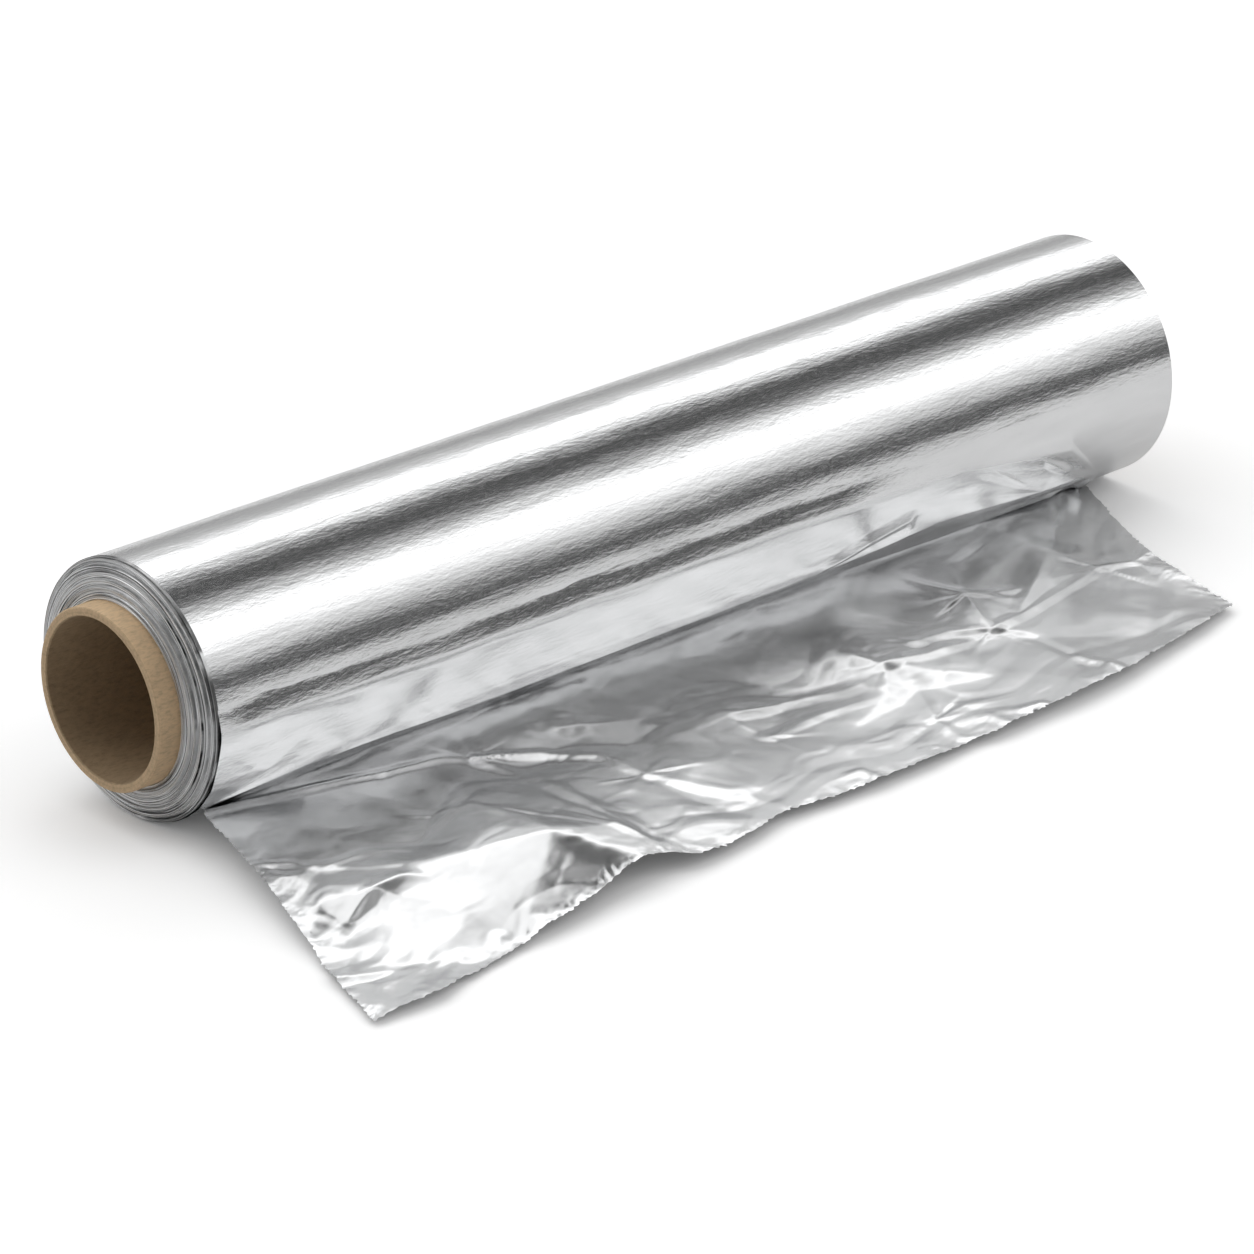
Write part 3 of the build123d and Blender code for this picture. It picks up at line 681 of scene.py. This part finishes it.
def turned_mesh(sizes):
    """Surface turned about the core's axis: a ring for each film edge at the near end, slid along the axis as its
    group of turns is, then the round face, which bends in and out by a few hundredths of a millimetre, then the far
    end with the same slides."""
    half = sizes.foil_width / 2
    pick = np.random.default_rng(7)
    end = []
    inner = 0.0
    for outer, slide in TURN_SHARES:
        count = max(2, round((outer - inner) * sizes.rings))
        for share in np.linspace(inner, outer, count + 1):
            end.append((share, slide, pick.uniform(-1, 1)))
        inner = outer
    end = np.array(end)
    columns, rows_along = TURNS_GRID
    angle = np.linspace(0, 2 * pi, columns, endpoint=False)[None, :] - pi / 2
    ring_radius = (sizes.core_radius + (sizes.roll_radius - sizes.core_radius) * end[:, 0])[:, None]
    swing = 0.00012 * np.sin(angle * pick.integers(1, 4, len(end))[:, None] + pick.uniform(0, 6, len(end))[:, None])
    slid = (sizes.turns_shift * end[:, 1] + 0.00010 * end[:, 2])[:, None] + swing
    slid[-1] = 0.0
    sink = np.zeros_like(slid)
    for share, width, middle, half_angle, gap in TURN_GAPS:
        turn = np.degrees(np.abs((angle - radians(middle) + pi) % (2 * pi) - pi)) / half_angle
        away = np.abs(end[:, :1] - share) / width
        sink = np.maximum(sink, gap * 0.001 * np.clip(1 - away, 0, 1) * np.clip(1.2 - turn, 0, 1))
    stations = np.linspace(-half, half, rows_along)[1:-1]
    bend = (
        0.000022 * waves(stations[:, None], np.cos(angle) * 0.03, 0.045, 0.05, 7, 11)
        + 0.000014 * waves(stations[:, None], np.sin(angle) * 0.03, 0.016, 0.03, 9, 12)
    )
    bend *= np.clip(np.minimum(stations + half, half - stations) / 0.01, 0.3, 1)[:, None]
    radius = np.vstack([ring_radius + 0 * angle, sizes.roll_radius + bend, ring_radius[::-1] + 0 * angle])
    x = np.vstack([-half - slid + sink, stations[:, None] + 0 * angle, half - slid[::-1]])
    # The lowest strip is pressed flat where the roll lies on the ground
    z = np.maximum(radius * np.sin(angle), FLOOR_LEVEL)
    points = np.stack([x, -radius * np.cos(angle), z], -1)
    along = np.concatenate([np.full(len(end), -half), stations, np.full(len(end), half)])
    around = sizes.roll_radius * (np.linspace(0, 2 * pi, columns + 1) - pi / 2)
    uvs = np.stack(np.broadcast_arrays(along[:, None] * 10, around[None, :] * 10), -1)
    mesh = grid_mesh("wound_turns", points, uvs, wrap=True)
    rows = np.repeat(np.arange(len(radius) - 1), columns)
    edges = ((rows < len(end)) | (rows >= len(radius) - len(end))).astype(np.int32)
    mesh.polygons.foreach_set("material_index", edges)
    mesh.set_sharp_from_angle(angle=radians(40))
    return mesh


class FOIL_OT_loose_turn(bpy.types.Operator):
    """Build the loose outer turn low on the front of the roll"""

    bl_idname = "foil_roll.loose_turn"
    bl_label = "Loose turn"

    def execute(self, context):
        sizes = context.scene.foil_turns
        across, down = np.meshgrid(*(np.linspace(0, 1, count) for count in LOOSE_GRID))
        angle = LOOSE_TOP - LOOSE_SPAN * down
        ends = np.interp(-angle, [-turn for share, turn in LOOSE_EDGE], [share for share, turn in LOOSE_EDGE])
        along = 0.002 + (ends - 0.002) * across
        flat_x, flat_y = sizes.foil_width * along, sizes.roll_radius * np.radians(angle)
        lift = np.zeros_like(along)
        for start, last, first_rise, last_rise, reach in WRINKLES:
            places = [(sizes.foil_width * share, sizes.roll_radius * radians(turn)) for share, turn in (start, last)]
            rises = (first_rise * sizes.roll_radius, last_rise * sizes.roll_radius)
            crease = tent(flat_x, flat_y, *places, rises, reach * sizes.roll_radius, WRINKLE_HOLLOW)
            lift = np.maximum(lift, crease)
        wander = angle + 0.5 * waves(flat_x, 0 * flat_y, 0.03, 1.0, 5, 23)
        panel = np.interp(wander, *np.transpose(LOOSE_PANEL))
        share = np.interp(along, (0.0, 0.03, 0.15, 0.3, 0.62, 0.76), (0.6, 0.9, 0.9, 1, 1, 0))
        lift += 0.001 * softened(panel, 3) * share
        slack = np.clip((-12 - angle) / 25, 0, 1)
        lift += slack * (0.00006 * waves(flat_x, flat_y, 0.05, 0.012, 8, 21) + 0.00010)
        lift -= 0.00006 * np.clip((angle - 9) / 2, 0, 1)
        radius = sizes.roll_radius + lift
        turn = np.radians(angle)
        points = np.stack([-sizes.foil_width / 2 + flat_x, -radius * np.cos(turn), radius * np.sin(turn)], -1)
        uvs = np.stack([(flat_x - sizes.foil_width / 2) * 10, flat_y * 10], -1)
        piece = add_piece("loose_turn", grid_mesh("loose_turn", points, uvs), bpy.data.materials["bright_foil"])
        return {"FINISHED"}


def tail_heights(x, y, across, out):
    """Height of the tail above flat ground: its folded sheet, partly eased, then the pleats, the stars and the
    crumples, which start a little way out from the roll. The crumples are highest in the left half."""
    height = fold_heights(x, y)
    height = SHARP_SHARE * softened(height, 1) + (1 - SHARP_SHARE) * softened(height, EASING_PASSES)
    free = np.clip((out - 0.1) / 0.2, 0, 1)
    rough = free * np.interp(across, (0.0, 0.35, 0.55, 0.7, 1.0), (0.6, 0.6, 0.4, 0.25, 0.2))
    height += np.clip((out - 0.1) / 0.07, 0, 1) * pleat_heights(x, y)
    height += free * star_heights(x, y)
    height += rough * sum(rise * facets(x, y, *crumple) for rise, *crumple in PANEL_CRUMPLES)
    height -= rough * HOLLOW_DEPTH * np.abs(waves(x, y, HOLLOW_LENGTH, HOLLOW_LENGTH, 6, 81))
    stars = 0
    for name in STARS:
        beside, ahead = x * 1000 - FOLD_POINTS[name][0], y * 1000 - FOLD_POINTS[name][1]
        stars = stars + np.exp(-(beside ** 2 + ahead ** 2) / CRUMPLE_REACH ** 2)
    border = np.clip(1 - np.minimum(np.minimum(1 - out, 2.6 * across), 2.6 * (1 - across)) / 0.055, 0, 1)
    height += free * STAR_RISE * np.minimum(stars, 1) * facets(x, y, *STAR_CRUMPLE)
    height += free * BORDER_RISE * border * facets(x, y, *BORDER_CRUMPLE)
    return height


class FOIL_OT_tail(bpy.types.Operator):
    """Build the creased tail that is drawn out in front of the roll"""

    bl_idname = "foil_roll.tail"
    bl_label = "Creased tail"

    def execute(self, context):
        sizes = context.scene.foil_tail
        finish = context.scene.foil_finish
        across, out = np.meshgrid(np.linspace(0, 1, TAIL_GRID[0]), np.linspace(0.02, 1, TAIL_GRID[1]))
        x, y = tail_plan(sizes, across, out)
        height = tail_heights(x, y, across, out)
        # Torn edges wander and are nicked by a few tenths of a millimetre
        tear = 0.00018 * waves(x, y, 0.002, 0.002, 9, 51) + 0.00013 * waves(x, y, 0.0011, 0.0011, 9, 52)
        front, left, right = (np.clip(1 - d / 0.05, 0, 1) ** 2 for d in (1 - out, across, 1 - across))
        y = y + tear * front
        x = x + tear * (left + right)
        # The sheet stays under the roll and above the ground
        under = np.sqrt(np.maximum(ROLL_RADIUS ** 2 - y ** 2, 0))
        level = np.minimum(FLOOR_LEVEL + sizes.lift + height, np.where(under > 0, -under - 0.0001, 1))
        points = np.stack([x, y, np.maximum(level, FLOOR_LEVEL + 0.00003)], -1)
        mesh = grid_mesh("tail", points, np.stack([x * 10, y * 10], -1), flip=True)
        colour = tuple(finish.dull_colour)
        piece = add_piece("tail", mesh, foil_material(
            "creased_foil", colour, finish.dull_roughness, (120, 120), 0.000006, (12, 12), 0.00006, 0.013
        ))
        return {"FINISHED"}


class FOIL_OT_studio(bpy.types.Operator):
    """Set up the floor, the lights, the world and the camera"""

    bl_idname = "foil_roll.studio"
    bl_label = "Studio"

    def execute(self, context):
        scene = context.scene
        scene.view_settings.view_transform = "Standard"
        build_floor()
        build_canopy()
        build_soft_box()
        build_world(scene)
        camera = bpy.data.objects.new("camera", bpy.data.cameras.new("camera"))
        scene.collection.objects.link(camera)
        camera.data.sensor_width = 36.0
        camera.data.lens = CAMERA_LENS
        camera.data.clip_end = 50.0
        camera.location = CAMERA_PLACE
        turn, rise = radians(CAMERA_TURN), radians(CAMERA_RISE)
        back = Vector((sin(turn) * cos(rise), -cos(turn) * cos(rise), sin(rise)))
        camera.rotation_mode = "QUATERNION"
        camera.rotation_quaternion = (-back).to_track_quat("-Z", "Y")
        scene.camera = camera
        return {"FINISHED"}


def stage_sheet(name, points):
    """Sheet of the stage over a grid of points."""
    sheet = bpy.data.objects.new(name, grid_mesh(name, points, points[..., :2]))
    bpy.context.scene.collection.objects.link(sheet)
    return sheet


def lamp_sheet(name, material_name, radius, angles, ends):
    """Sheet bent round the roll's axis over angles, 0 level towards the viewer's side and 90 overhead, and between
    two ends along the axis. The camera doesn't see it, and rays find it without being aimed at it."""
    angle = np.radians(angles)[None, :]
    x = np.array(ends)[:, None]
    sheet = stage_sheet(name, np.stack(np.broadcast_arrays(x, -radius * np.cos(angle), radius * np.sin(angle)), -1))
    sheet.visible_camera = False
    material, tree = new_material(material_name)
    material.cycles.emission_sampling = "NONE"
    sheet.data.materials.append(material)
    return sheet, tree


def build_floor():
    """Round white floor just under the part. Camera, glossy and transmission rays see it lifted to the white of the
    background, and its shadows stay.
    The lift fades where the floor is hidden from the open sky, a painted shadow under and beside the roll and the
    tail."""
    angle = np.linspace(0, 2 * pi, 97)[None, :]
    radius = np.array([[0.0], [0.4], [2.4]])
    height = np.full((3, 97), FLOOR_LEVEL - 0.00005)
    floor = stage_sheet("floor", np.stack([radius * np.cos(angle), radius * np.sin(angle), height], -1))
    material, tree = new_material("white_floor")
    rays = add_node(tree, "LightPath").outputs
    mirrored = add_math(tree, "ADD", rays["Is Glossy Ray"], rays["Is Transmission Ray"])
    # Mirrored, it glows by a fifth of what the camera sees
    level = add_math(tree, "MULTIPLY_ADD", mirrored, 0.2, rays["Is Camera Ray"])
    # Painted shadow: the glow fades where ambient occlusion finds the floor hidden, under and beside the roll and the
    # tail
    open_sky_for_painted_shadow = add_node(tree, "AmbientOcclusion", {"Distance": 0.3}, samples=4).outputs["AO"]
    lit = add_node(tree, "MapRange", {"Value": open_sky_for_painted_shadow, "From Min": -0.1, "To Max": 0.48})
    glow = add_node(tree, "Emission", {"Strength": add_math(tree, "MULTIPLY", level, lit)})
    paint = add_node(tree, "BsdfDiffuse", {"Color": (0.80, 0.80, 0.80, 1)})
    add_node(tree, "OutputMaterial", {"Surface": add_node(tree, "AddShader", {0: paint, 1: glow})})
    floor.data.materials.append(material)


def build_canopy():
    """Half tube about the roll's axis, two metres out, that glows in bands: two long soft boxes with dark gaps below
    and between them, and a dimmer band behind."""
    angles = np.linspace(-0.8, 180.8, 121)
    canopy, tree = lamp_sheet("light_canopy", "canopy_glow", CANOPY_RADIUS, angles, (-8.0, 8.0))
    split = add_node(tree, "SeparateXYZ", {"Vector": add_node(tree, "TexCoord").outputs["Object"]}).outputs
    forward = add_math(tree, "MULTIPLY", split["Y"], -1.0)
    turn = add_math(tree, "ARCTAN2", split["Z"], forward)
    share = add_math(tree, "MULTIPLY_ADD", turn, 180 / pi / CANOPY_SPAN, CANOPY_START / CANOPY_SPAN)
    stops = [((angle + CANOPY_START) / CANOPY_SPAN, grey(light / 2)) for angle, light in CANOPY_LIGHT]

    def fade(source, *values):
        names = ("From Min", "From Max", "To Min", "To Max")
        return add_node(tree, "MapRange", {"Value": source, **dict(zip(names, values))})

    # Dim past its right end, and in front of the roll also left of it
    lost = add_math(tree, "MULTIPLY", fade(split["X"], -0.3, 0.7, 0.7, 0.0), fade(forward, 0.3, 0.8, 0.0, 1.0))
    kept = add_math(tree, "SUBTRACT", 1.0, lost)
    strength = add_math(tree, "MULTIPLY", fade(split["X"], 3.2, 4.6, 2.0, 0.3), kept)
    glow = add_node(tree, "Emission", {"Color": ramp(tree, share, stops), "Strength": strength})
    add_node(tree, "OutputMaterial", {"Surface": glow})


def build_soft_box():
    """Soft box overhead, left of what the round face mirrors, so that light falls from above. It glows on its
    underside."""
    box, tree = lamp_sheet("soft_box", "soft_box_glow", SOFT_BOX_RADIUS, np.linspace(84, 124, 17), (-1.4, 0.8))
    add_node(tree, "OutputMaterial", {"Surface": add_node(tree, "Emission", {"Strength": 1.3})})


def build_world(scene):
    """White for camera, glossy and transmission rays, and a plain grey light for the rest."""
    world = bpy.data.worlds.new("studio_white")
    world.use_nodes = True
    tree = world.node_tree
    tree.nodes.clear()
    rays = add_node(tree, "LightPath").outputs
    seen = add_math(tree, "ADD", rays["Is Camera Ray"], rays["Is Glossy Ray"])
    all_seen = add_math(tree, "ADD", seen, rays["Is Transmission Ray"], use_clamp=True)
    shade = ramp(tree, all_seen, ((0.0, grey(0.7)), (1.0, grey(1.0))))
    add_node(tree, "OutputWorld", {"Surface": add_node(tree, "Background", {"Color": shade})})
    world.cycles.sampling_method = "NONE"
    scene.world = world


class FOIL_PT_panel(bpy.types.Panel):
    """Sizes, finishes and pieces of the foil roll"""

    bl_idname = "FOIL_PT_panel"
    bl_label = "Foil Roll"
    bl_space_type = "VIEW_3D"
    bl_region_type = "UI"
    bl_category = "Foil Roll"

    def draw(self, context):
        layout = self.layout
        for title, group in (("Turns", "foil_turns"), ("Tail", "foil_tail"), ("Finish", "foil_finish")):
            box = layout.box()
            box.label(text=title)
            settings = getattr(context.scene, group)
            for name in settings.__annotations__:
                box.prop(settings, name)
        for operator in STEPS:
            layout.operator(operator.bl_idname)


STEPS = (FOIL_OT_core, FOIL_OT_turns, FOIL_OT_loose_turn, FOIL_OT_tail, FOIL_OT_studio)
GROUPS = (("foil_turns", TurnSizes), ("foil_tail", TailSizes), ("foil_finish", Finish))


def register():
    for name, group in GROUPS:
        bpy.utils.register_class(group)
        setattr(bpy.types.Scene, name, PointerProperty(type=group))
    for item in (*STEPS, FOIL_PT_panel):
        bpy.utils.register_class(item)


def unregister():
    for item in (FOIL_PT_panel, *reversed(STEPS)):
        bpy.utils.unregister_class(item)
    for name, group in reversed(GROUPS):
        delattr(bpy.types.Scene, name)
        bpy.utils.unregister_class(group)


def main():
    register()
    bpy.ops.foil_roll.core()
    bpy.ops.foil_roll.turns()
    bpy.ops.foil_roll.loose_turn()
    bpy.ops.foil_roll.tail()
    bpy.ops.foil_roll.studio()


if __name__ == "__main__":
    main()
